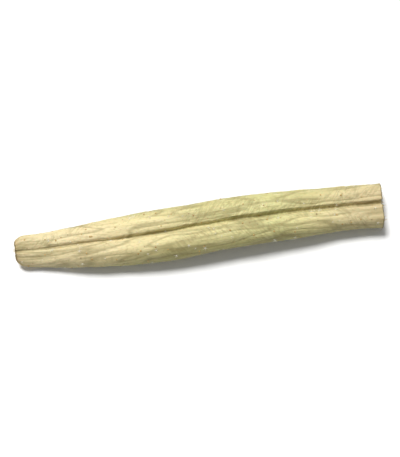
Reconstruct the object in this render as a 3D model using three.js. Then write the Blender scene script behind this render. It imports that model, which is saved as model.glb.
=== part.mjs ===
// A dried rosemary leaf, cut short at one end, lying on a table on its rolled margins.
// Millimetres, +Z up. The leaf runs along X, from the stub of its stalk (-X) to its cut end (+X).
// The origin is at the middle of its length and width, on the surface that it lies on.
import * as THREE from "three";

const { degToRad, lerp, smoothstep } = THREE.MathUtils;

// The leaf's size. Its reach is measured over the surface, from the midrib to a margin's edge.
const LENGTH = 11;
const BLADE_REACH = 1.4;
const BLADE_THICKNESS = 0.22;
const STALK_REACH = 0.39;
const STALK_THICKNESS = 0.34;

// Where the stalk has widened into the full blade, and where the blade starts to narrow again towards
// the cut, as shares of the length counted from the stalk.
const BLADE_FROM = 0.42;
const NARROWS_FROM = 0.5;
const NARROWING = 0.16; // share of its reach that the blade has lost at the cut

// The section of the blade: it rises out of the furrow to a crest, then turns down and under.
const RISE = degToRad(15);
const CREST_AT = 0.32; // share of the reach
const ROLL = degToRad(258); // the whole turn, from level at the crest to the margin's edge
const ROLL_TIGHTENING = 2.2; // over 1, the turn is tighter towards the edge
const ROLL_LEAD = 0.75; // under 1, the margins roll up sooner than the blade widens

// The furrow along the middle of the upper face, and the midrib below it.
const FURROW_DEPTH = 0.09;
const FURROW_HALF_WIDTH = 0.12;
const STALK_FURROW_SHARE = 0.35;
const MIDRIB_DEPTH = 0.2;
const MIDRIB_HALF_WIDTH = 0.18;

// How much thinner the margin's edge is than the middle, and how suddenly it thins.
const STALK_EDGE = { thinning: 0.8, suddenness: 2.5 };
const BLADE_EDGE = { thinning: 0.5, suddenness: 4 };

// How drying has bent the leaf and made its margins wavy.
const ARCH = 0.12; // lift of the middle over the two places where the margins rest
const RESTS_FROM = 0.27; // share of the length at the first of them; the second is the cut end
const BOW = -0.03; // sideways bend of the middle, along Y
const SWAY = 0.07; // S-bend on top of the bow
const TWIST = degToRad(9); // turn of the stalk against the blade
const WAVE = 0.025; // share of the reach
const WAVES_ALONG = 3.3;

// The two ends.
const STUB_ROUNDING = 0.3; // length over which the stub of the stalk is rounded off
const SCAR_SHARE = 0.5; // size of the flat scar at its tip, as a share of the stub
const CUT_SLANT = 0.08; // run of the cut for each millimetre across
const CUT_SLANT_FROM = 0.85; // share of the length where the sections start to slant

// Fineness of the mesh.
const STEPS_PER_HALF = 24;
const STEPS_CLOSER_AT_ENDS = 0.4;
const STEPS_ALONG = 48;
const STEPS_ROUND_STUB = 4;

// Share of the reach after i steps from the midrib: the steps are shorter at the midrib and the edge.
function shareAfter(i) {
  const even = i / STEPS_PER_HALF;
  return even - (STEPS_CLOSER_AT_ENDS * Math.sin(2 * Math.PI * even)) / (2 * Math.PI);
}

// What the half leaf on one side is like at share s of the length, from 0, stalk, to 1, blade.
function halfShapeAt(s, side) {
  const blade = smoothstep(s, -0.02, BLADE_FROM);
  const narrowing = NARROWING * smoothstep(s, NARROWS_FROM, 1);
  const wave = WAVE * blade * Math.sin(2 * Math.PI * WAVES_ALONG * s + 1.2 * side);
  return {
    blade,
    reach: lerp(STALK_REACH, BLADE_REACH * (1 - narrowing), blade) * (1 + wave),
    thickness: lerp(STALK_THICKNESS, BLADE_THICKNESS, blade),
    roll: ROLL * blade ** ROLL_LEAD,
    rise: RISE * blade,
  };
}

// The upper and the lower outline of the half section on one side (1 for +Y, -1 for -Y), walked over
// the surface from the midrib, with a heading that turns with the share of the reach walked.
function halfSectionAt(s, side) {
  const { blade, reach, thickness, roll, rise } = halfShapeAt(s, side);
  const headingAt = (share) =>
    rise * Math.sin(Math.PI * Math.min(1, share / CREST_AT)) - roll * share ** ROLL_TIGHTENING;
  const furrowDepth = FURROW_DEPTH * lerp(STALK_FURROW_SHARE, 1, blade);
  const thinning = lerp(STALK_EDGE.thinning, BLADE_EDGE.thinning, blade);
  const suddenness = lerp(STALK_EDGE.suddenness, BLADE_EDGE.suddenness, blade);
  const upper = [];
  const lower = [];
  const middle = new THREE.Vector2();
  for (let i = 0; i <= STEPS_PER_HALF; i += 1) {
    const share = shareAfter(i);
    if (i > 0) {
      const step = reach * (share - shareAfter(i - 1));
      const heading = headingAt((share + shareAfter(i - 1)) / 2);
      middle.x += step * Math.cos(heading);
      middle.y += step * Math.sin(heading);
    }
    const walked = reach * share;
    const inFurrow = Math.min(1, walked / FURROW_HALF_WIDTH);
    const inMidrib = Math.min(1, walked / MIDRIB_HALF_WIDTH);
    const furrow = furrowDepth * Math.cos((Math.PI / 2) * inFurrow) ** 2;
    const midrib = MIDRIB_DEPTH * blade * (1 - inMidrib ** 2) ** 0.8;
    const half = (thickness / 2) * (1 - thinning * share ** suddenness);
    const heading = headingAt(share);
    const outward = new THREE.Vector2(-Math.sin(heading), Math.cos(heading));
    upper.push(middle.clone().addScaledVector(outward, half - furrow));
    lower.push(middle.clone().addScaledVector(outward, -half - midrib));
  }
  const mirror = new THREE.Vector2(side, 1);
  return [upper, lower].map((line) => line.map((point) => point.multiply(mirror)));
}

// The whole section, anticlockwise as seen from the cut end, starting at the +Y margin's edge.
function sectionAt(s) {
  const [upperLeft, lowerLeft] = halfSectionAt(s, 1);
  const [upperRight, lowerRight] = halfSectionAt(s, -1);
  return [
    ...upperLeft.toReversed(),
    ...upperRight.slice(1),
    ...lowerRight.toReversed(),
    ...lowerLeft.slice(1),
  ];
}

// One ring of points in space: the section at share s of the length, turned, dropped to the line that
// the arch gives its lowest point, moved aside by the bow and shrunk about its own middle.
function ringAt(s, shrink) {
  const twist = TWIST * Math.max(0, 1 - s / BLADE_FROM) ** 2;
  const outline = sectionAt(s).map((point) => point.rotateAround(new THREE.Vector2(), twist));
  const box = new THREE.Box2().setFromPoints(outline);
  const centre = box.getCenter(new THREE.Vector2());
  const aside = BOW * Math.sin(Math.PI * s) - SWAY * Math.sin(2 * Math.PI * s);
  const arch = ARCH * Math.sin((Math.PI * (s - RESTS_FROM)) / (1 - RESTS_FROM)) ** 2;
  const lift = arch - box.min.y;
  const slant = CUT_SLANT * smoothstep(s, CUT_SLANT_FROM, 1);
  return outline.map((point) => {
    const { x, y } = point.sub(centre).multiplyScalar(shrink).add(centre);
    return new THREE.Vector3(LENGTH * (s - 0.5) + slant * x, x + aside, y + lift);
  });
}

// The rings from the scar at the stalk's tip to the cut end.
function leafRings() {
  const rings = [];
  const stub = STUB_ROUNDING / LENGTH;
  for (let i = 0; i < STEPS_ROUND_STUB; i += 1) {
    const angle = (Math.PI / 2) * (i / STEPS_ROUND_STUB);
    rings.push(ringAt(stub * (1 - Math.cos(angle)), lerp(SCAR_SHARE, 1, Math.sin(angle))));
  }
  for (let i = 0; i <= STEPS_ALONG; i += 1) {
    rings.push(ringAt(lerp(stub, 1, i / STEPS_ALONG), 1));
  }
  return rings;
}

// The triangles of the flat end that closes a ring, anticlockwise as seen from the cut end.
function flatEnd(ring) {
  const outline = ring.map((point) => new THREE.Vector2(point.y, point.z));
  return THREE.ShapeUtils.triangulateShape(outline, []);
}

// A closed skin over the rings, with a flat end on the first and on the last.
function skinOver(rings) {
  const count = rings[0].length;
  const last = (rings.length - 1) * count;
  const faces = [];
  for (let start = 0; start < last; start += count) {
    for (let i = 0; i < count; i += 1) {
      const a = start + i;
      const b = start + ((i + 1) % count);
      faces.push(a, b, b + count, a, b + count, a + count);
    }
  }
  flatEnd(rings[0]).forEach(([a, b, c]) => faces.push(c, b, a));
  flatEnd(rings.at(-1)).forEach(([a, b, c]) => faces.push(last + a, last + b, last + c));
  return new THREE.BufferGeometry().setFromPoints(rings.flat()).setIndex(faces);
}

const geometry = skinOver(leafRings());
geometry.computeBoundingBox();
const { min, max } = geometry.boundingBox;
geometry.translate(-(min.x + max.x) / 2, -(min.y + max.y) / 2, -min.z);
geometry.computeVertexNormals();

const dryLeaf = new THREE.MeshStandardMaterial({ color: 0xb9ad76, roughness: 0.85, metalness: 0 });
const leaf = new THREE.Mesh(geometry, dryLeaf);
leaf.name = "rosemary_leaf";

const cutLeaf = new THREE.Group();
cutLeaf.add(leaf);

export default cutLeaf;
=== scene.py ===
# %% [markdown]
# # A dried rosemary leaf
#
# A rosemary leaf is a narrow needle of a leaf. A furrow runs along the middle of its upper face, over
# a thick midrib. Its two margins roll down and under, so that the pale felt of the underside shows
# only in two slits. This one has dried to the colour of straw, and its tip end is cut off square.
#
# The frame holds one plain solid of the leaf, and this lesson grows the same leaf with a fine skin.
# It could be sculpted and painted by hand. But a leaf grows by rules, so Geometry Nodes make its
# shape, its wrinkles and all that grows on it, and shader nodes colour each place on it by its kind.

# %% Load the frame
import math

import bpy
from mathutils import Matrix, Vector


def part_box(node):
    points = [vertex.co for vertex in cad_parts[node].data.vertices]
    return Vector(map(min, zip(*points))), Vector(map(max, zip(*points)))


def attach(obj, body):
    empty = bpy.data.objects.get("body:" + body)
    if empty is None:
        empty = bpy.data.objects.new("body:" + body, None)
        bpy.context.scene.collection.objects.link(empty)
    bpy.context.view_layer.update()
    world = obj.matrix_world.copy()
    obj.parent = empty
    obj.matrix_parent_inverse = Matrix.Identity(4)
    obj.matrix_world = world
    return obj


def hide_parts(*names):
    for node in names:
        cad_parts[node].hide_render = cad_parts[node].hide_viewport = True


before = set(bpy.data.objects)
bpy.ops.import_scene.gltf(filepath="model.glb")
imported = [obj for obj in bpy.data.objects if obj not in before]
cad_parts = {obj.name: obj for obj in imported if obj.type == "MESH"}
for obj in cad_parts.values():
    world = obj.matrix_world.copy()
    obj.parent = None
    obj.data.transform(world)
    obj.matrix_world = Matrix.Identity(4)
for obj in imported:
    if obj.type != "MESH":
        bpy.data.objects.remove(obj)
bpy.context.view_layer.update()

MM = 0.001
LEAF_NODE = "rosemary_leaf"
leaf_low, leaf_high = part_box(LEAF_NODE)
leaf_size = leaf_high - leaf_low
print("the solid leaf measures", [round(side / MM, 2) for side in leaf_size], "mm")

# %% [markdown]
# ## The camera
#
# The leaf is seen from high above, as it lies on a table, with its cut end a little further off than
# its stalk. The camera could be put in place by hand, but worked out from the leaf's own box it
# still fits after the leaf is resized. A long lens keeps the two ends nearly the same size.

# %% The way to the camera
CAMERA_AZIMUTH = math.radians(-7.5)
CAMERA_ELEVATION = math.radians(75)


def look_from(azimuth, elevation):
    """The direction from the leaf to a viewer: azimuth 0 is the -Y side, 90 degrees the +X side."""
    return Vector((
        math.sin(azimuth) * math.cos(elevation),
        -math.cos(azimuth) * math.cos(elevation),
        math.sin(elevation),
    ))


to_camera = look_from(CAMERA_AZIMUTH, CAMERA_ELEVATION)
print("the way to the camera is", [round(part, 2) for part in to_camera])

# %% The camera and its distance
LENS = 90
SENSOR = 36
LEAF_SHARE_OF_PICTURE = 0.93
PICTURE_WIDTH, PICTURE_HEIGHT = 400, 457
NEAREST, FARTHEST = 0.05, 100  # limits of its sight, against its distance from the leaf

camera_data = bpy.data.cameras.new("camera")
camera_data.lens = LENS
camera_data.sensor_width = SENSOR
camera = bpy.data.objects.new("camera", camera_data)
bpy.context.scene.collection.objects.link(camera)
bpy.context.scene.camera = camera

picture_width = SENSOR / LENS * PICTURE_WIDTH / PICTURE_HEIGHT
camera_distance = leaf_size.x / LEAF_SHARE_OF_PICTURE / picture_width
camera.location = (leaf_low + leaf_high) / 2 + to_camera * camera_distance
camera.rotation_euler = to_camera.to_track_quat("Z", "Y").to_euler()
camera_data.clip_start = camera_distance * NEAREST
camera_data.clip_end = camera_distance * FARTHEST
print("the camera stands", round(camera_distance / MM, 1), "mm from the leaf")

# %% [markdown]
# ## Formulas made of nodes
#
# Geometry Nodes and materials are both built from small nodes, and the rule of a leaf's shape takes
# two hundred of them. They could be added and linked one by one, but that hides the rule. So a
# node's output is wrapped in a class that knows the signs +, -, *, / and **. Each sign adds one Math
# node, and the script reads like the formula that it builds.

# %% A node's output that can be calculated with


class Field:
    """A node's output: a number or a vector that varies over a surface."""

    def __init__(self, socket):
        self.socket = socket
        self.tree = socket.id_data

    def __add__(self, other):
        return calculate("ADD", self, other)

    def __radd__(self, other):
        return calculate("ADD", other, self)

    def __sub__(self, other):
        return calculate("SUBTRACT", self, other)

    def __rsub__(self, other):
        return calculate("SUBTRACT", other, self)

    def __mul__(self, other):
        return calculate("MULTIPLY", self, other)

    def __rmul__(self, other):
        return calculate("MULTIPLY", other, self)

    def __truediv__(self, other):
        return calculate("DIVIDE", self, other)

    def __pow__(self, other):
        return calculate("POWER", self, other)


practice = bpy.data.node_groups.new("practice", "GeometryNodeTree")
width = Field(practice.nodes.new("ShaderNodeValue").outputs[0])
print("a field to practise on:", width.socket.node.name)

# %% The nodes behind the signs


def connect(value, socket):
    """Feeds a socket with a field, or sets it to a plain value."""
    if isinstance(value, Field):
        value.tree.links.new(value.socket, socket)
    elif socket.type == "VECTOR" and not hasattr(value, "__len__"):
        socket.default_value = (value, value, value)
    else:
        socket.default_value = value


def calculate(operation, *values):
    """A Math node, or a Vector Math node where one of the values is a vector."""
    fields = [value for value in values if isinstance(value, Field)]
    is_vector = any(field.socket.type == "VECTOR" for field in fields)
    node = fields[0].tree.nodes.new("ShaderNodeVectorMath" if is_vector else "ShaderNodeMath")
    node.operation = operation
    for value, socket in zip(values, node.inputs):
        connect(value, socket)
    return Field(node.outputs[0])


formula = width * 1.5 + 2
print("width * 1.5 + 2 made", [node.name for node in formula.tree.nodes])

# %% All other nodes


def named(sockets, name):
    """The socket of that name that is in use."""
    return next(socket for socket in sockets if socket.name == name and socket.enabled)


def add_node(tree, kind, inputs=None, **settings):
    """A new node with its settings made and its inputs fed, by their names."""
    node = tree.nodes.new(kind)
    for name, value in settings.items():
        setattr(node, name, value)
    for name, value in (inputs or {}).items():
        connect(value, named(node.inputs, name))
    return node


def output(node, name):
    """A node's output of that name, as a field."""
    return Field(named(node.outputs, name))


def tell(name, tree):
    """Prints how far a tree has grown."""
    print(name, "has", len(tree.nodes), "nodes so far")


add_node(practice, "ShaderNodeTexNoise", {"Scale": formula})
tell("the practice tree", practice)
bpy.data.node_groups.remove(practice)

# %% [markdown]
# ## The rolled leaf
#
# The leaf could be sculpted, or bent out of a flat strip with modifiers. But its shape follows a
# rule. At every place along it, the half section is a walk over the surface from the midrib to the
# margin: up to a crest, and then down and under, ever more tightly. Geometry Nodes can follow that
# rule, and with a named input for each size, the same tree gives a wider leaf or a tighter roll. The
# sizes are those of the solid in the frame. A reach is the way over the surface, from the midrib to a
# margin's edge.

# %% Sizes of the leaf
LENGTH = 11 * MM
LEAF_SIZES = {
    "Blade reach": 1.4 * MM,
    "Blade thickness": 0.22 * MM,
    "Stalk reach": 0.39 * MM,
    "Stalk thickness": 0.34 * MM,
    "Rise": math.radians(15),
    "Roll": math.radians(258),
    "Furrow depth": 0.09 * MM,
    "Furrow half width": 0.12 * MM,
    "Midrib depth": 0.2 * MM,
    "Midrib half width": 0.18 * MM,
    "Arch": 0.12 * MM,
    "Bow": -0.03 * MM,
    "Sway": 0.07 * MM,
    "Twist": math.radians(9),
    "Cut slant": 0.08,  # millimetres along for each millimetre across
    "Points along": 330,
    "Points across": 131,
    "Points through": 11,
    "Walking steps": 40,
}
flat_width = 2 * LEAF_SIZES["Blade reach"] / MM
print("the leaf is", LENGTH / MM, "mm long and would be", flat_width, "mm wide if it lay flat")

# %% Start its tree


def start_tree(name, sizes, takes_geometry):
    """A tree with a named input for each size and for the material, and its inputs as fields."""
    tree = bpy.data.node_groups.new(name, "GeometryNodeTree")
    tree.interface.new_socket("Geometry", in_out="OUTPUT", socket_type="NodeSocketGeometry")
    if takes_geometry:
        tree.interface.new_socket("Geometry", in_out="INPUT", socket_type="NodeSocketGeometry")
    for label, value in sizes.items():
        kind = "NodeSocketInt" if isinstance(value, int) else "NodeSocketFloat"
        tree.interface.new_socket(label, in_out="INPUT", socket_type=kind).default_value = value
    tree.interface.new_socket("Material", in_out="INPUT", socket_type="NodeSocketMaterial")
    entry = tree.nodes.new("NodeGroupInput")
    return tree, {socket.name: Field(socket) for socket in entry.outputs if socket.name}


leaf_tree, given = start_tree("rolled leaf", LEAF_SIZES, takes_geometry=False)
print("the tree", leaf_tree.name, "has", len(given), "inputs")

# %% [markdown]
# ### Points that know their place
#
# The leaf is closed all round. It could be two sheets sewn together at the margins, but a box with
# finely divided sides is closed from the start, and stays closed wherever its points go. Each point
# remembers its place on the leaf: how far along it, how far across and how deep in it. The steps
# that follow read that place, and so do the wrinkles and the colours. The points lie closer together
# at the midrib, at the margins and at the stalk's tip, because the surface turns most there.

# %% A box of points


def position(tree):
    return output(add_node(tree, "GeometryNodeInputPosition"), "Position")


def split_axes(vector):
    """The three numbers of a vector, each as a field."""
    node = add_node(vector.tree, "ShaderNodeSeparateXYZ", {"Vector": vector})
    return [output(node, axis) for axis in "XYZ"]


inputs = {
    "Vertices X": given["Points along"],
    "Vertices Y": given["Points across"],
    "Vertices Z": given["Points through"],
}
points = output(add_node(leaf_tree, "GeometryNodeMeshCube", inputs), "Mesh")
x, y, z = split_axes(position(leaf_tree))
tell("the rolled leaf", leaf_tree)

# %% Where on the leaf each point belongs
CLOSER_AT_STALK = 0.02  # the smaller it is, the closer they are
CLOSER_AT_SIDES = 0.45  # under 1; the larger it is, the closer they are at midrib and margins


def sine(angle):
    return calculate("SINE", angle)


evenly = x + 0.5  # 0 at the stalk's tip, 1 at the cut
along = evenly * evenly * (1 + CLOSER_AT_STALK) / (evenly + CLOSER_AT_STALK)
station = calculate("ROUND", evenly * (given["Points along"] - 1))
outwards = calculate("ABSOLUTE", y) * 2  # 0 at the midrib, 1 at a margin
share = outwards - sine(outwards * (2 * math.pi)) * (CLOSER_AT_SIDES / (2 * math.pi))
side = calculate("SIGN", y)  # -1 or 1, and 0 right on the midrib
through = sine(z * math.pi)  # -1 on the lower skin, 1 on the upper
tell("the rolled leaf", leaf_tree)

# %% Remember it


def recall(tree, name, kind="FLOAT"):
    """A value stored on the points under a name."""
    node = add_node(tree, "GeometryNodeInputNamedAttribute", {"Name": name}, data_type=kind)
    return output(node, "Attribute")


def remember(geometry, name, value):
    """Stores a value on every point under a name. Gives back the geometry and the stored value."""
    kind = "FLOAT_VECTOR" if value.socket.type == "VECTOR" else "FLOAT"
    inputs = {"Geometry": geometry, "Name": name, "Value": value}
    stored = add_node(
        geometry.tree, "GeometryNodeStoreNamedAttribute", inputs, data_type=kind, domain="POINT"
    )
    return output(stored, "Geometry"), recall(geometry.tree, name, kind)


points, station = remember(points, "station", station)
points, along = remember(points, "along", along)
points, share = remember(points, "share", share)
points, side = remember(points, "side", side)
points, through = remember(points, "through", through)
tell("the rolled leaf", leaf_tree)

# %% [markdown]
# ### From stalk to blade
#
# The stalk is narrow, thick and hardly rolled. The blade is wide and thin, and each of its margins is
# rolled nearly into a tube. A few sections could be drawn and joined, but the leaf changes smoothly,
# so all its sizes follow one smooth step from 0 on the stalk to 1 on the blade. The roll runs ahead
# of it, because the margins curl up before the blade has its full width. Towards the cut the blade
# narrows again, and its margins are a little wavy.

# %% One step that all sizes follow
STALK_TO = -0.02  # share of the length, and below 0, so that the leaf widens from its very tip
BLADE_FROM = 0.42  # share of the length


def step_up(value, start, end):
    """0 up to start, 1 from end on, and a smooth rise in between. With start over end it falls."""
    inputs = {"Value": value, "From Min": start, "From Max": end}
    return output(
        add_node(value.tree, "ShaderNodeMapRange", inputs, interpolation_type="SMOOTHSTEP"),
        "Result",
    )


blade = step_up(along, STALK_TO, BLADE_FROM)
print("the full blade begins", round(BLADE_FROM * LENGTH / MM, 2), "mm from the tip of the stalk")

# %% How wide, thick and rolled the leaf is
NARROWS_FROM = 0.5  # share of the length
NARROWING = 0.16  # share of its reach that the blade has lost at the cut
WAVE = 0.025  # share of the reach
WAVES_ALONG = 3.3
WAVE_SHIFT = 1.2  # radians: one margin's wave runs this much ahead, the other's this much behind
ROLL_LEAD = 0.75  # under 1, the roll runs ahead


def between(start, end, share):
    """Start where share is 0, end where it is 1, and in proportion in between."""
    return start + (end - start) * share


narrowing = step_up(along, NARROWS_FROM, 1.0) * NARROWING
wave = sine(along * (2 * math.pi * WAVES_ALONG) + side * WAVE_SHIFT) * blade * WAVE
blade_reach = given["Blade reach"] * (1 - narrowing)
reach = between(given["Stalk reach"], blade_reach, blade) * (wave + 1)
thickness = between(given["Stalk thickness"], given["Blade thickness"], blade)
roll = given["Roll"] * blade ** ROLL_LEAD
rise = given["Rise"] * blade
tell("the rolled leaf", leaf_tree)

# %% Remember the place in millimetres


def join_axes(x, y, z):
    """A vector of three numbers, of which one or more are fields."""
    tree = next(value.tree for value in (x, y, z) if isinstance(value, Field))
    return output(add_node(tree, "ShaderNodeCombineXYZ", {"X": x, "Y": y, "Z": z}), "Vector")


MM_LONG = LENGTH / MM

points, reach = remember(points, "reach", reach)
points, roll = remember(points, "roll", roll)
points, rise = remember(points, "rise", rise)
place = join_axes(along * MM_LONG, share * reach * side * (1 / MM), through)
points, place = remember(points, "leaf_place", place)
tell("the rolled leaf", leaf_tree)

# %% [markdown]
# ### The walk over the surface
#
# A heading gives the direction of the walk: up out of the furrow, level at the crest, then down and
# under. A point's place is the sum of all the steps up to it. No simple formula gives that sum, and
# a curve for each section would have to be joined to the next. So a Repeat zone adds the steps up:
# all points start in the midrib, and each time round, each one takes a small step on its heading.

# %% The heading
CREST_AT = 0.32  # share of the reach
ROLL_TIGHTENING = 2.2  # over 1, the turn is tighter towards the edge


def at_most(value, limit):
    return calculate("MINIMUM", value, limit)


def heading(share):
    """The direction of the walk, as an angle above level, at a share of the reach."""
    climb = rise * sine(at_most(share * (1 / CREST_AT), 1.0) * math.pi)
    return climb - roll * share ** ROLL_TIGHTENING


angle = heading(share)
print("the climb ends", round(CREST_AT * LEAF_SIZES["Blade reach"] / MM, 2), "mm from the midrib")

# %% Start in the midrib


def move_points(geometry, **where):
    """Moves every point to a position=, or by an offset=."""
    inputs = {"Geometry": geometry}
    inputs.update({name.capitalize(): value for name, value in where.items()})
    return output(add_node(geometry.tree, "GeometryNodeSetPosition", inputs), "Geometry")


line = move_points(points, offset=position(leaf_tree) * -1)
tell("the rolled leaf", leaf_tree)

# %% Walk out to the margins


def cosine(angle):
    return calculate("COSINE", angle)


entry = leaf_tree.nodes.new("GeometryNodeRepeatInput")
leave = leaf_tree.nodes.new("GeometryNodeRepeatOutput")
entry.pair_with_output(leave)
connect(given["Walking steps"], entry.inputs["Iterations"])
connect(line, entry.inputs["Geometry"])
step = share / given["Walking steps"]
step_angle = heading(step * (output(entry, "Iteration") + 0.5))
step_length = step * reach
offset = join_axes(0.0, cosine(step_angle) * side * step_length, sine(step_angle) * step_length)
connect(move_points(output(entry, "Geometry"), offset=offset), leave.inputs["Geometry"])
line = output(leave, "Geometry")
print("each point takes", LEAF_SIZES["Walking steps"], "steps")

# %% [markdown]
# ### Thickness, furrow and midrib
#
# So far the leaf has no thickness: its upper and lower faces lie on the same line. A Solidify
# modifier would give it the same thickness everywhere. A real leaf is thickest in its midrib, where
# its veins run, and thins out to a rounded edge, and the furrow lies right over the midrib. So each
# point moves off the line by its own amount, at a right angle to its heading.

# %% The furrow and the midrib
STALK_FURROW_SHARE = 0.35  # how deep the furrow is on the stalk, against the blade
MIDRIB_POINTEDNESS = 0.8  # 0.5 would make it a half circle, and 1 makes it a more pointed hump

walked = reach * share
in_furrow = at_most(walked / given["Furrow half width"], 1.0)
in_midrib = at_most(walked / given["Midrib half width"], 1.0)
furrow = cosine(in_furrow * (math.pi / 2)) ** 2 * given["Furrow depth"]
furrow = furrow * between(STALK_FURROW_SHARE, 1.0, blade)
midrib = (1 - in_midrib * in_midrib) ** MIDRIB_POINTEDNESS * given["Midrib depth"] * blade
tell("the rolled leaf", leaf_tree)

# %% The faces and the rounded edge
STALK_THINNING, BLADE_THINNING = 0.8, 0.5  # share of the thickness that is gone at the edge
STALK_SUDDENNESS, BLADE_SUDDENNESS = 2.5, 4  # the larger it is, the later it thins
EDGE_FROM = 0.9999  # share of the reach

thinning = between(STALK_THINNING, BLADE_THINNING, blade)
suddenness = between(STALK_SUDDENNESS, BLADE_SUDDENNESS, blade)
half = thickness * 0.5 * (1 - thinning * share ** suddenness)
height = between(half * -1 - midrib, half - furrow, through * 0.5 + 0.5)
at_edge = calculate("GREATER_THAN", share, EDGE_FROM)
round_edge = half * at_edge * calculate("SQRT", 1 - through * through)
sideways = cosine(angle) * round_edge - sine(angle) * height
upwards = sine(angle) * round_edge + cosine(angle) * height
sections = move_points(line, offset=join_axes(0.0, sideways * side, upwards))
edge = LEAF_SIZES["Blade thickness"] * (1 - BLADE_THINNING) / MM
print("the margin's edge is", round(edge, 2), "mm thick")

# %% [markdown]
# ### The leaf's lie
#
# All the sections still stand in the same place. Drying bends a leaf: its middle arches up off the
# table, it sways a little sideways, and its stalk twists. A chain of modifiers could bend it, each
# with its own limits. Here each section is turned and then laid in its place, with its lowest point
# on the line of the arch. The margins touch the table in two places, as a real leaf's would.

# %% Twist the stalk
twist = calculate("MAXIMUM", 1 - along * (1 / BLADE_FROM), 0.0)
inputs = {"Vector": position(leaf_tree), "Angle": twist * twist * given["Twist"]}
turned = add_node(leaf_tree, "ShaderNodeVectorRotate", inputs, rotation_type="X_AXIS")
sections = move_points(sections, position=output(turned, "Vector"))
tell("the rolled leaf", leaf_tree)

# %% Round off the stub
STUB_SHARE = 0.3 * MM / LENGTH
SCAR_SHARE = 0.5  # size of the flat scar at the tip, as a share of the stub


def group_range(value, group):
    """The lowest and the highest value among the points of the same group."""
    node = add_node(value.tree, "GeometryNodeFieldMinAndMax", {"Value": value, "Group ID": group})
    return output(node, "Min"), output(node, "Max")


x, y, z = split_axes(position(leaf_tree))
low_y, high_y = group_range(y, station)
low_z, high_z = group_range(z, station)
from_stub = 1 - at_most(along * (1 / STUB_SHARE), 1.0)
shrink = between(SCAR_SHARE, 1.0, calculate("SQRT", 1 - from_stub * from_stub))
y = between((low_y + high_y) * 0.5, y, shrink)
z = between((low_z + high_z) * 0.5, z, shrink)
print("the stub is rounded over", round(STUB_SHARE * LENGTH / MM, 2), "mm")

# %% Lay the sections along the leaf
CUT_SLANT_FROM = 0.85  # share of the length
RESTS_FROM = 0.27  # share of the length

slant = step_up(along, CUT_SLANT_FROM, 1.0) * given["Cut slant"]
aside = sine(along * math.pi) * given["Bow"] - sine(along * (2 * math.pi)) * given["Sway"]
arch = sine((along - RESTS_FROM) * (math.pi / (1 - RESTS_FROM)))
lift = arch * arch * given["Arch"] - low_z
laid = join_axes((along - 0.5) * LENGTH + slant * y, y + aside, z + lift)
bent_leaf = move_points(sections, position=laid)
print("it rests", round(RESTS_FROM * LENGTH / MM, 2), "mm from the stalk's tip and at the cut")

# %% Centre it and end the tree


def centre_on_table(geometry):
    """Puts the leaf's box over the origin, with its lowest point on the table."""
    box = add_node(geometry.tree, "GeometryNodeBoundBox", {"Geometry": geometry})
    low, high = output(box, "Min"), output(box, "Max")
    to_middle = (low + high) * (-0.5, -0.5, 0.0)
    return move_points(geometry, offset=to_middle - low * (0.0, 0.0, 1.0))


def end_tree(tree, geometry, material, smooth=True):
    """Every tree ends the same way: real meshes, no instances, shading smooth or not, a material."""
    realized = output(
        add_node(tree, "GeometryNodeRealizeInstances", {"Geometry": geometry}), "Geometry"
    )
    inputs = {"Geometry": realized, "Shade Smooth": smooth}
    shaded = output(add_node(tree, "GeometryNodeSetShadeSmooth", inputs), "Geometry")
    painted = add_node(
        tree, "GeometryNodeSetMaterial", {"Geometry": shaded, "Material": material}
    )
    add_node(tree, "NodeGroupOutput", {"Geometry": output(painted, "Geometry")})
    print("the", tree.name, "tree is done, with", len(tree.nodes), "nodes")
    return tree


rolled_leaf = end_tree(leaf_tree, centre_on_table(bent_leaf), given["Material"])

# %% [markdown]
# ## Wrinkles of drying
#
# As a leaf dries, its soft inside shrinks and its tough skin is left too large. The skin sinks into
# creases that run along the leaf, and between them it puckers. Bump in the material would leave the
# outline smooth, so the larger wrinkles are real: a second tree pushes the points in and out. Its
# noise is read at the remembered place on the leaf, not in space, so that the creases follow the
# surface round the roll. The colours will use the same patterns, so that the two fit together. A
# pattern's spacing has three numbers: millimetres along, millimetres across, and depth in the leaf.

# %% Creases that run along the leaf
CREASE_SPACING = (2.2, 0.27, 1.0)


def clouds(place, spacing, detail=2.0, roughness=0.5, distortion=0.0):
    """Noise from 0 to 1. Spacing is the rough size of a cloud: three numbers, or one for all."""
    inputs = {
        "Vector": place / spacing,
        "Scale": 1.0,
        "Detail": detail,
        "Roughness": roughness,
        "Distortion": distortion,
    }
    return output(add_node(place.tree, "ShaderNodeTexNoise", inputs), "Fac")


def folds(value):
    """Sharp valleys with round backs between them, out of clouds from 0 to 1."""
    return calculate("ABSOLUTE", value * 2 - 1)


def crease_pattern(place):
    """0 at the bottom of a lengthwise crease, up to 1 on the backs between them."""
    return folds(clouds(place, CREASE_SPACING, detail=1.0, distortion=0.3))


print("creases are about", CREASE_SPACING[0], "mm long and", CREASE_SPACING[1], "mm apart")

# %% Wrinkles that slant across it
WRINKLE_SPACING = (0.14, 0.4, 1.0)
WRINKLE_SLANT = 0.9  # millimetres backwards for each millimetre outwards
PLAIN_SPACING = (1.3, 0.55, 2.0)
PLAIN_FROM, ALL_PLAIN = 0.42, 0.62  # where in their clouds the plain places begin and are full
SMOOTHING = 0.75  # how much of the wrinkles is gone there


def wrinkle_pattern(place):
    """0 in short wrinkles that slant forwards and outwards, up to 1 between them and on plain skin."""
    along, across, through = split_axes(place)
    slanted = join_axes(along - calculate("ABSOLUTE", across) * WRINKLE_SLANT, across, through)
    wrinkles = folds(clouds(slanted, WRINKLE_SPACING, detail=1.5, distortion=0.9))
    plain = step_up(clouds(place, PLAIN_SPACING, detail=1.0), PLAIN_FROM, ALL_PLAIN)
    return between(wrinkles, 1.0, plain * SMOOTHING)


print("wrinkles are about", WRINKLE_SPACING[1], "mm long and", WRINKLE_SPACING[0], "mm apart")

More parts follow.
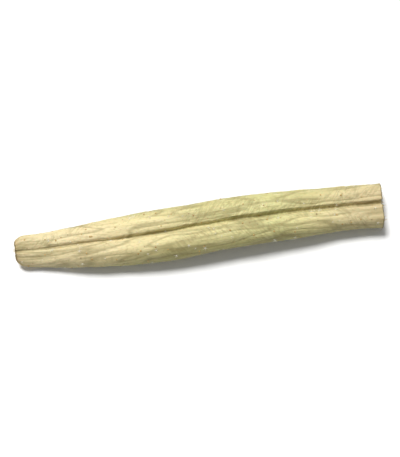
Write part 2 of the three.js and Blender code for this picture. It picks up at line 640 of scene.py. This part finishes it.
# %% Grain of the sunken cells
GRAIN_SPACING = (0.11, 0.05, 1.0)


def grain_pattern(place):
    """The fine pebbles of the sunken cells, from 0 between them to 1 on their tops."""
    inputs = {"Vector": place / GRAIN_SPACING, "Scale": 1.0}
    cells = add_node(place.tree, "ShaderNodeTexVoronoi", inputs)
    return 1 - output(cells, "Distance")


print("pebbles are about", GRAIN_SPACING[0], "mm long and", GRAIN_SPACING[1], "mm wide")

# %% Push the skin in and out
SKIN_SIZES = {
    "Creases": 0.05 * MM,
    "Wrinkles": 0.02 * MM,
    "Swells": 0.06 * MM,
    "Grain": 0.012 * MM,
    "Middle crease": 0.02 * MM,
    "Ragged ends": 0.09 * MM,
}
SWELL_SPACING = (1.7, 0.7, 2.0)
FOLD_MEAN = 0.3  # taken off, so that the folds lie half in the leaf and half out of it
MIDDLE_HALF_WIDTH = 0.05  # millimetres

skin_tree, given = start_tree("dried skin", SKIN_SIZES, takes_geometry=True)
place = recall(skin_tree, "leaf_place", "FLOAT_VECTOR")
along, across, through = split_axes(place)
swells = clouds(place, SWELL_SPACING, detail=1.0) - 0.5
height = (crease_pattern(place) - FOLD_MEAN) * given["Creases"] + swells * given["Swells"]
height = height + (wrinkle_pattern(place) - FOLD_MEAN) * given["Wrinkles"]
height = height + (grain_pattern(place) - 0.5) * given["Grain"]
in_middle = step_up(calculate("ABSOLUTE", across), MIDDLE_HALF_WIDTH, 0.0)
on_top = step_up(through, 0.9, 1.0)
height = height - in_middle * on_top * given["Middle crease"]
normal = output(add_node(skin_tree, "GeometryNodeInputNormal"), "Normal")
wrinkled = move_points(given["Geometry"], offset=normal * height)
tell("the dried skin", skin_tree)

# %% Make the ends ragged
TEAR_SPACING = 0.14 * MM
TORN_AT_CUT, TORN_AT_STALK = 0.06, 0.3  # millimetres from the ends

ends = step_up(along, MM_LONG - TORN_AT_CUT, MM_LONG) + step_up(along, TORN_AT_STALK, 0.0)
tear = clouds(position(skin_tree), TEAR_SPACING, detail=4.0, roughness=0.6) - 0.5
ragged = move_points(wrinkled, offset=join_axes(tear * ends * given["Ragged ends"], 0.0, 0.0))
dried_skin = end_tree(skin_tree, centre_on_table(ragged), given["Material"])

# %% [markdown]
# ## The skin's colours
#
# A dried leaf isn't one colour. Its skin is straw where the green has gone and olive where some is
# left, cream on the stalk and tan again at the cut. Shade is painted into the furrow, the creases and
# the wrinkles as the darkest tone, and the flanks are painted olive, partly for the green they keep
# and partly as painted shade. A painted image could hold all that, but a pattern worked out at each
# place on the leaf has no seams, and stays sharp however close one comes.
# It is built up as a painter would, in layers: each one is a mask from 0 to 1 that lays one more
# colour over the last. In step_up, two numbers say where in its pattern a mask begins and is full,
# and a strength says how much of the new colour shows there.

# %% Start the material


def start_material(name, **constants):
    """A material whose Principled shader has these constants, as (material, tree, shader)."""
    material = bpy.data.materials.new(name)
    material.use_nodes = True
    shader = material.node_tree.nodes["Principled BSDF"]
    for label, value in constants.items():
        shader.inputs[label.replace("_", " ")].default_value = value
    return material, material.node_tree, shader


leaf_skin, paint, shader = start_material(
    "leaf skin",
    Subsurface_Weight=0.08,
    Subsurface_Scale=0.12 * MM,
    Sheen_Weight=0.15,
    Sheen_Roughness=0.5,
    Specular_IOR_Level=0.35,
)
place = output(add_node(paint, "ShaderNodeAttribute", attribute_name="leaf_place"), "Vector")
along, across, through = split_axes(place)
off_middle = calculate("ABSOLUTE", across)
tell("the leaf's material", paint)

# %% Colours as a screen shows them


def display(red, green, blue):
    """A colour as a screen shows it, from 0 to 255, as the linear values that nodes take."""
    def linear(level):
        level = level / 255
        return level / 12.92 if level <= 0.04045 else ((level + 0.055) / 1.055) ** 2.4
    return linear(red), linear(green), linear(blue), 1.0


print("a screen's middle grey is", round(display(128, 128, 128)[0], 2), "of white as a linear value")

# %% Straw, changing along the leaf


def shade_by(value, stops):
    """Colours that change with a value, given as a list of (value, colour)."""
    node = add_node(value.tree, "ShaderNodeValToRGB", {"Fac": value})
    elements = node.color_ramp.elements
    elements[0].position, elements[0].color = stops[0]
    elements[1].position, elements[1].color = stops[-1]
    for stop, colour in stops[1:-1]:
        elements.new(stop).color = colour
    return output(node, "Color")


STRAW_ALONG = [
    (0.0, display(184, 162, 118)),
    (0.02, display(203, 187, 142)),
    (0.07, display(216, 201, 156)),
    (0.2, display(220, 203, 156)),
    (0.38, display(221, 208, 154)),
    (0.52, display(218, 208, 150)),
    (0.7, display(208, 203, 142)),
    (0.8, display(217, 206, 150)),
    (0.92, display(214, 198, 152)),
    (1.0, display(204, 186, 142)),
]
upper = shade_by(along * (MM / LENGTH), STRAW_ALONG)
print("straw has", len(STRAW_ALONG), "tones from stalk to cut")

# %% Olive, where green is left
OLIVE = display(150, 146, 84)
GREEN_SPACING = (2.6, 0.8, 1.0)


def lay_over(under, over, mask, strength=None):
    """One colour over another where the mask is 1. A strength under 1 lets the lower one show."""
    factor = mask if strength is None else mask * strength
    inputs = {"Factor": factor, "A": under, "B": over}
    return output(add_node(mask.tree, "ShaderNodeMix", inputs, data_type="RGBA"), "Result")


green = step_up(clouds(place, GREEN_SPACING, detail=3.0), 0.5, 0.72)
upper = lay_over(upper, OLIVE, green, strength=0.32)
# Olive over both flanks: partly the green that a flank keeps, partly painted shade where the leaf
# turns down away from the light.
flank_green_and_painted_shade = step_up(off_middle, 0.3, 0.9)  # millimetres from the middle
upper = lay_over(upper, OLIVE, flank_green_and_painted_shade, strength=0.9)
tell("the leaf's material", paint)

# %% Streaks along the fibres
DEEP_OLIVE = display(120, 108, 58)
PALE_STRAW = display(238, 226, 182)
STREAK_SPACING = (1.2, 0.07, 1.0)
PALE_STREAK_SPACING = (0.8, 0.05, 2.0)

streaks = step_up(clouds(place, STREAK_SPACING, detail=4.0, roughness=0.6), 0.48, 0.75)
on_stalk = step_up(along, 3.4, 0.8)  # millimetres from its tip
upper = lay_over(upper, DEEP_OLIVE, streaks, strength=on_stalk * 0.2 + 0.3)
pale_streaks = step_up(clouds(place, PALE_STREAK_SPACING, detail=3.0), 0.55, 0.8)
upper = lay_over(upper, PALE_STRAW, pale_streaks, strength=0.42)
tell("the leaf's material", paint)

# %% Painted shade in creases, wrinkles, grain and furrow, and brown specks
BROWN = display(122, 88, 50)
BREAK_SPACING = (0.9, 0.3, 1.0)
SPECK_SPACING = (0.11, 0.08, 1.0)

# Painted shade: darker in the bottoms of the creases and wrinkles and between the pebbles of the
# grain, where shade falls.
upper = lay_over(upper, DEEP_OLIVE, step_up(crease_pattern(place), 0.14, 0.0), strength=0.45)
upper = lay_over(upper, DEEP_OLIVE, step_up(wrinkle_pattern(place), 0.2, 0.0), strength=0.3)
upper = lay_over(upper, DEEP_OLIVE, step_up(grain_pattern(place), 0.5, 0.15), strength=0.2)
# Painted shade along the bottom of the furrow, broken up in places.
broken = step_up(clouds(place, BREAK_SPACING), 0.25, 0.6)
in_furrow = step_up(off_middle, 0.06, 0.01)
upper = lay_over(upper, DEEP_OLIVE, in_furrow, strength=broken * 0.24 + 0.08)
specks = step_up(clouds(place, SPECK_SPACING, detail=1.0), 0.69, 0.78)
upper = lay_over(upper, BROWN, specks, strength=0.6)
tell("the leaf's material", paint)

# %% [markdown]
# ### Underside, cut and scar
#
# The underside is nearly white with felt, and only the midrib shows bare between the two rolled
# margins. The hairs stop short of the stalk. The cut shows what the leaf is made of: pale, crumbling
# tissue, greener under the upper skin, and one brown vein. The scar, where the leaf came off its
# twig, looks much the same, only browner. Each could be a material of its own, but then the borders
# would be hard lines. So they are more layers of the same one, laid on by depth and by place.

# %% The felted underside
FELT = display(232, 230, 214)
FELT_SHADE = display(204, 200, 172)
MIDRIB = display(208, 196, 146)
STALK = display(205, 186, 138)
BARE_TO, FELT_FROM = 0.6, 1.5  # millimetres from the stalk's tip
TUFT_SPACING = (0.07, 0.05, 1.0)

tufts = step_up(clouds(place, TUFT_SPACING, detail=3.0), 0.3, 0.65)
lower = lay_over(FELT_SHADE, FELT, tufts)
lower = lay_over(lower, MIDRIB, step_up(off_middle, 0.18, 0.1), strength=0.8)
lower = lay_over(lower, STALK, step_up(along, FELT_FROM, BARE_TO))
below = step_up(through, 0.1, -0.1)
colour = lay_over(upper, lower, below)
tell("the leaf's material", paint)

# %% The cut and the scar
TISSUE = display(206, 192, 144)
VEIN = display(132, 98, 56)
CELL_SPACING = (0.05, 0.03, 0.25)
VEIN_BELOW = 0.1  # how far below the middle it lies, where 1 would be the lower skin

cells = clouds(place, CELL_SPACING, detail=4.0, roughness=0.7)
tissue = lay_over(TISSUE, OLIVE, step_up(through, -0.2, 0.6), strength=0.7)
tissue = lay_over(tissue, DEEP_OLIVE, step_up(cells, 0.45, 0.7), strength=0.6)
tissue = lay_over(tissue, PALE_STRAW, step_up(cells, 0.45, 0.25), strength=0.6)
rim = step_up(calculate("ABSOLUTE", through), 0.8, 0.98)
tissue = lay_over(tissue, DEEP_OLIVE, rim, strength=0.7)
off_vein = calculate("ABSOLUTE", through + VEIN_BELOW)
vein = step_up(off_middle, 0.09, 0.04) * step_up(off_vein, 0.34, 0.14)
tissue = lay_over(tissue, VEIN, vein * step_up(cells, 0.7, 0.4), strength=0.8)
cut = step_up(along, MM_LONG - 0.03, MM_LONG - 0.005)
scar = step_up(along, 0.05, 0.01)
colour = lay_over(colour, tissue, cut)
browner = lay_over(tissue, BROWN, scar, strength=0.5)
colour = lay_over(colour, browner, scar, strength=0.9)
connect(colour, shader.inputs["Base Color"])
tell("the leaf's material", paint)

# %% Gloss and the finest relief
GLOSS_SPACING = (0.9, 0.12, 1.0)
STRAND_SPACING, STRAND_HEIGHT = (0.2, 0.025, 1.0), 0.015 * MM
CRUMB_SPACING, CRUMB_HEIGHT = (0.03, 0.03, 0.2), 0.05 * MM
GLOSSY, MATT = 0.42, 0.8  # the least and the greatest roughness of the skin
ROUGHER = 0.15  # added on the felt and on the cut

gloss = clouds(place, GLOSS_SPACING, detail=3.0)
connect(between(GLOSSY, MATT, gloss) + (below + cut) * ROUGHER, shader.inputs["Roughness"])
strands = clouds(place, STRAND_SPACING, detail=3.0)
crumbs = clouds(place, CRUMB_SPACING, detail=3.0)
relief = strands * STRAND_HEIGHT + crumbs * (cut + scar) * CRUMB_HEIGHT
bump = add_node(paint, "ShaderNodeBump", {"Height": relief, "Distance": 1.0, "Strength": 1.0})
connect(output(bump, "Normal"), shader.inputs["Normal"])
print("the leaf's material is done, with", len(paint.nodes), "nodes")

# %% [markdown]
# ## Growing the leaf
#
# A tree makes nothing until a modifier runs it on an object. The modifiers could stay on, but other
# programs don't know them. So the two trees run once, one after the other, their result is kept as a
# plain mesh, and the modifiers are taken off. The mesh stands for the plain solid from here on, and
# rides on the same body.

# %% How to grow a tree


def grow(name, steps, start_mesh=None):
    """Runs trees, each with its input values, on a mesh and turns the result into a plain mesh."""
    obj = bpy.data.objects.new(name, start_mesh or bpy.data.meshes.new(name))
    bpy.context.scene.collection.objects.link(obj)
    for tree, values in steps:
        modifier = obj.modifiers.new(tree.name, "NODES")
        modifier.node_group = tree
        for item in tree.interface.items_tree:
            if item.in_out == "INPUT" and item.name in values:
                modifier[item.identifier] = values[item.name]
    graph = bpy.context.evaluated_depsgraph_get()
    mesh = bpy.data.meshes.new_from_object(
        obj.evaluated_get(graph), preserve_all_data_layers=True, depsgraph=graph
    )
    obj.modifiers.clear()
    obj.data = mesh
    mesh.name = name
    if mesh.materials[0] is None:
        mesh.materials.pop(index=0)  # a box or a cone brings an empty slot with it
    triangles = sum(len(face.vertices) - 2 for face in mesh.polygons)
    print(name, "has", triangles, "triangles")
    return obj


print("the leaf grows by the trees", rolled_leaf.name, "and", dried_skin.name)

# %% Grow the leaf
leaf = grow("leaf", [
    (rolled_leaf, LEAF_SIZES | {"Material": leaf_skin}),
    (dried_skin, SKIN_SIZES | {"Material": leaf_skin}),
])
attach(leaf, "root")
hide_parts(LEAF_NODE)

# %% [markdown]
# ## The felt
#
# The felt of the underside is made of thousands of tiny branched hairs, each like the spokes of an
# umbrella. Hair curves would be the usual way to make fur, but a printer or another program can't
# use them. So one hair is made as a small closed mesh with very few faces, and a tree scatters it
# over the leaf: thick on the felted underside, thin on the skin, and not where the leaf touches the
# table. The seed fixes where each hair stands, so it is the same leaf every time. The finish is that
# of down: nearly white, dull, with a faint sheen round the edges.

# %% One ray of a hair
FELT_SIZES = {
    "Hairs on the felt": 130.0,  # on a square millimetre
    "Hairs on the skin": 3.0,
    "Hair length": 0.12 * MM,
    "Hair thickness": 0.009 * MM,
    "Hair lean": math.radians(62),
    "Seed": 7,
}

felt_tree, given = start_tree("felt", FELT_SIZES, takes_geometry=True)
inputs = {
    "Vertices": 3,
    "Radius Top": 0.0,
    "Radius Bottom": given["Hair thickness"] * 0.5,
    "Depth": given["Hair length"],
}
ray = output(add_node(felt_tree, "GeometryNodeMeshCone", inputs), "Mesh")
tell("the felt's tree", felt_tree)

# %% Rays that make a branched hair
RAYS = 6

number = output(add_node(felt_tree, "GeometryNodeInputIndex"), "Index")
turn = number * (2 * math.pi / (RAYS - 1))
lean = at_most(number, 1.0) * given["Hair lean"]  # none for the first ray, which is number 0
way = join_axes(cosine(turn) * sine(lean), sine(turn) * sine(lean), cosine(lean))
rotation = add_node(felt_tree, "FunctionNodeAlignRotationToVector", {"Vector": way}, axis="Z")
feet = output(add_node(felt_tree, "GeometryNodePoints", {"Count": RAYS}), "Points")
inputs = {"Points": feet, "Instance": ray, "Rotation": output(rotation, "Rotation")}
rays = output(add_node(felt_tree, "GeometryNodeInstanceOnPoints", inputs), "Instances")
hair = output(add_node(felt_tree, "GeometryNodeRealizeInstances", {"Geometry": rays}), "Geometry")
print("a hair has one upright ray and", RAYS - 1, "that lean out round it")

# %% How to scatter small shapes


def chance(tree, low, high, seed):
    """A random number between low and high, another one for each point."""
    inputs = {"Min": low, "Max": high, "Seed": seed}
    return output(add_node(tree, "FunctionNodeRandomValue", inputs), "Value")


def scatter(surface, tree, shape, density, seed, smallest, lean=0.0):
    """Copies of a shape on a surface, turned at random, leaning at random and not all one size."""
    inputs = {"Mesh": surface, "Density": density, "Seed": seed}
    spread = add_node(tree, "GeometryNodeDistributePointsOnFaces", inputs)
    # Each number has a seed of its own, or all the large ones would lean the same way.
    tilt_x = chance(tree, -lean, lean, seed + 2)
    tilt_y = chance(tree, -lean, lean, seed + 3)
    turn = chance(tree, 0.0, 2 * math.pi, seed)
    about = add_node(tree, "FunctionNodeEulerToRotation", {"Euler": join_axes(tilt_x, tilt_y, turn)})
    inputs = {"Rotation": output(spread, "Rotation"), "Rotate By": output(about, "Rotation")}
    turned = add_node(tree, "FunctionNodeRotateRotation", inputs, rotation_space="LOCAL")
    inputs = {
        "Points": output(spread, "Points"),
        "Instance": shape,
        "Rotation": output(turned, "Rotation"),
        "Scale": chance(tree, smallest, 1.0, seed + 1),
    }
    return output(add_node(tree, "GeometryNodeInstanceOnPoints", inputs), "Instances")


tell("the felt's tree", felt_tree)

# %% Where the hairs stand


def felted(tree):
    """1 where the underside is felted: not on the stalk or the midrib, and not at the cut."""
    along, across, through = split_axes(recall(tree, "leaf_place", "FLOAT_VECTOR"))
    below = step_up(through, -0.9, -1.0)
    beside_midrib = step_up(calculate("ABSOLUTE", across), 0.15, 0.22)
    from_stalk = step_up(along, BARE_TO, FELT_FROM)
    return below * beside_midrib * from_stalk * step_up(along, MM_LONG, MM_LONG - 0.05)


def off_table(tree, clearance):
    """0 on the skin that lies on the table, 1 where a shape of that size stays clear of it."""
    height = split_axes(position(tree))[2]
    return step_up(height, clearance * 0.8, clearance * 1.2)


per_area = between(given["Hairs on the skin"], given["Hairs on the felt"], felted(felt_tree))
per_area = per_area * off_table(felt_tree, given["Hair length"]) / MM ** 2
hairs = scatter(given["Geometry"], felt_tree, hair, per_area, given["Seed"], smallest=0.5)
end_tree(felt_tree, hairs, given["Material"], smooth=False)

# %% Grow the felt


def object_place(tree):
    """The place in space, measured from the object's origin."""
    return output(add_node(tree, "ShaderNodeTexCoord"), "Object")


felt_hair, paint, shader = start_material(
    "felt hair", Sheen_Weight=0.3, Sheen_Roughness=0.4, Specular_IOR_Level=0.3
)
tone = clouds(object_place(paint), 0.3 * MM)
stops = [(0.3, display(236, 233, 216)), (0.7, display(250, 249, 240))]
connect(shade_by(tone, stops), shader.inputs["Base Color"])
connect(between(0.55, 0.8, tone), shader.inputs["Roughness"])

felt = grow("felt", [(felt_tree, FELT_SIZES | {"Material": felt_hair})], leaf.data)
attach(felt, "root")

# %% [markdown]
# ## The oil glands
#
# Between the hairs sit the round glands that hold the rosemary oil. A few have dried on the upper
# face too, as amber dots. They could be a pattern in the skin's colour, but they stand out of it and
# catch the light, so each one is a small flattened ball, half sunk in the skin, scattered by the
# same helper as the hairs. Their finish is that of dried resin: amber, with a thin clear coat.

# %% The tree of the glands
GLAND_SIZES = {
    "Glands below": 9.0,  # on a square millimetre
    "Glands above": 3.0,
    "Gland size": 0.06 * MM,
    "Gland height": 0.035 * MM,
    "Seed": 11,
}

gland_tree, given = start_tree("oil glands", GLAND_SIZES, takes_geometry=True)
inputs = {"Segments": 8, "Rings": 5, "Radius": 0.5}  # 1 across, so its scale is its size
ball = output(add_node(gland_tree, "GeometryNodeMeshUVSphere", inputs), "Mesh")
size = join_axes(given["Gland size"], given["Gland size"], given["Gland height"])
flattened = add_node(gland_tree, "GeometryNodeTransform", {"Geometry": ball, "Scale": size})
drop = output(flattened, "Geometry")
per_area = between(given["Glands above"], given["Glands below"], felted(gland_tree))
per_area = per_area * off_table(gland_tree, given["Gland height"]) / MM ** 2
drops = scatter(given["Geometry"], gland_tree, drop, per_area, given["Seed"], smallest=0.6)
end_tree(gland_tree, drops, given["Material"])

# %% Grow the glands
dried_oil, paint, shader = start_material("dried oil", Coat_Weight=0.4, Coat_Roughness=0.25)
tone = clouds(object_place(paint), 0.05 * MM, detail=1.0)
stops = [(0.3, display(150, 112, 52)), (0.7, display(206, 172, 98))]
connect(shade_by(tone, stops), shader.inputs["Base Color"])
connect(between(0.3, 0.55, tone), shader.inputs["Roughness"])

glands = grow("oil_glands", [(gland_tree, GLAND_SIZES | {"Material": dried_oil})], leaf.data)
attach(glands, "root")

# %% [markdown]
# ## The torn fibres
#
# No blade cuts a dry leaf clean. Short fibres stick out of the cut, most of them out of the vein, and
# a few more out of the scar where the leaf came off its twig. A rough pattern on the cut's face
# wouldn't break its outline, so each fibre is a thin four-sided cone. It leans to a random side, and
# the densest tuft stands where the vein was painted. The fibres are dull, and brown to cream.

# %% Where the fibres stand
FIBRE_SIZES = {
    "Fibres on the vein": 900.0,  # on a square millimetre
    "Fibres on the tissue": 60.0,
    "Fibre length": 0.11 * MM,
    "Fibre thickness": 0.014 * MM,
    "Seed": 5,
}

fibre_tree, given = start_tree("torn fibres", FIBRE_SIZES, takes_geometry=True)
along, across, through = split_axes(recall(fibre_tree, "leaf_place", "FLOAT_VECTOR"))
torn = step_up(along, MM_LONG - 0.004, MM_LONG) + step_up(along, 0.004, 0.0)
off_vein = calculate("ABSOLUTE", through + VEIN_BELOW)
vein = step_up(calculate("ABSOLUTE", across), 0.1, 0.06) * step_up(off_vein, 0.4, 0.25)
per_area = between(given["Fibres on the tissue"], given["Fibres on the vein"], vein)
per_area = per_area * torn / MM ** 2
tell("the fibres' tree", fibre_tree)

# %% Scatter the fibres
FIBRE_LEAN = 0.5  # the most that one leans to a side, in radians

inputs = {
    "Vertices": 4,
    "Radius Top": given["Fibre thickness"] * 0.2,  # a blunt tip
    "Radius Bottom": given["Fibre thickness"] * 0.5,
    "Depth": given["Fibre length"],
}
fibre = output(add_node(fibre_tree, "GeometryNodeMeshCone", inputs), "Mesh")
scattered = scatter(
    given["Geometry"],
    fibre_tree,
    fibre,
    per_area,
    given["Seed"],
    smallest=0.25,
    lean=FIBRE_LEAN,
)
end_tree(fibre_tree, scattered, given["Material"], smooth=False)

# %% Grow the fibres
torn_fibre, paint, shader = start_material("torn fibre", Specular_IOR_Level=0.3)
tone = clouds(object_place(paint), 0.06 * MM)
stops = [(0.3, display(168, 140, 88)), (0.7, display(226, 210, 162))]
connect(shade_by(tone, stops), shader.inputs["Base Color"])
connect(between(0.5, 0.8, tone), shader.inputs["Roughness"])

fibres = grow("torn_fibres", [(fibre_tree, FIBRE_SIZES | {"Material": torn_fibre})], leaf.data)
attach(fibres, "root")

# %% [markdown]
# ## The table
#
# The leaf lies on a plain pale table, which isn't part of the object. A real table top could be
# modelled, but its edge would only draw the eye. One large face is enough.

# %% The table
TABLE_SIZE = 6  # metres, so that its edge is far beyond every view

ways_to_corners = [(-0.5, -0.5), (0.5, -0.5), (0.5, 0.5), (-0.5, 0.5)]
corners = [(right * TABLE_SIZE, back * TABLE_SIZE, 0) for right, back in ways_to_corners]
table_mesh = bpy.data.meshes.new("floor")
table_mesh.from_pydata(corners, [], [(0, 1, 2, 3)])
table = bpy.data.objects.new("floor", table_mesh)
bpy.context.scene.collection.objects.link(table)

pale_table, paint, shader = start_material("pale table", Roughness=0.9)
tone = clouds(object_place(paint), 4 * MM)
stops = [(0.0, display(246, 246, 245)), (1.0, display(250, 250, 249))]
connect(shade_by(tone, stops), shader.inputs["Base Color"])
table_mesh.materials.append(pale_table)
print("the table is", TABLE_SIZE, "m wide")

# %% [markdown]
# ## Light
#
# The light is soft and comes from high up behind the leaf, a little from the left, so the far flank
# is bright, the near one is in its own shade and the shadow falls towards the viewer. An area lamp
# would have to be placed for the leaf's size, but a sun lights a leaf and a tree alike, and its
# angle makes it as soft as a wide window. The pale room fills the shadows. It is brightest near the
# horizon, so that the table's far edge melts into it in a low view.

# %% The key light
bpy.context.scene.view_settings.view_transform = "Standard"


def soft_sun(name, azimuth, elevation, strength, softness):
    """Even light from one direction. Softness is the width of its source, as an angle."""
    data = bpy.data.lights.new(name, "SUN")
    data.energy = strength
    data.angle = math.radians(softness)
    lamp = bpy.data.objects.new(name, data)
    bpy.context.scene.collection.objects.link(lamp)
    direction = look_from(math.radians(azimuth), math.radians(elevation))
    lamp.rotation_euler = direction.to_track_quat("Z", "Y").to_euler()
    print(name, "stands", elevation, "degrees high and is", softness, "degrees wide")


soft_sun("key light", azimuth=200, elevation=56, strength=3.8, softness=22)

# %% The pale room
OVERHEAD, AT_HORIZON = 0.24, 1.0  # how bright it is
RING_TO, OVERHEAD_FROM = 0.08, 0.2  # heights on a sky of radius 1

world = bpy.data.worlds.new("pale room")
bpy.context.scene.world = world
world.use_nodes = True
background = world.node_tree.nodes["Background"]
background.inputs["Color"].default_value = (1, 1, 1, 1)
sky = output(add_node(world.node_tree, "ShaderNodeTexCoord"), "Generated")
above_horizon = split_axes(sky)[2]
near_horizon = step_up(above_horizon, OVERHEAD_FROM, RING_TO)
connect(between(OVERHEAD, AT_HORIZON, near_horizon), background.inputs["Strength"])
print("the world", world.name, "has", len(world.node_tree.nodes), "nodes")
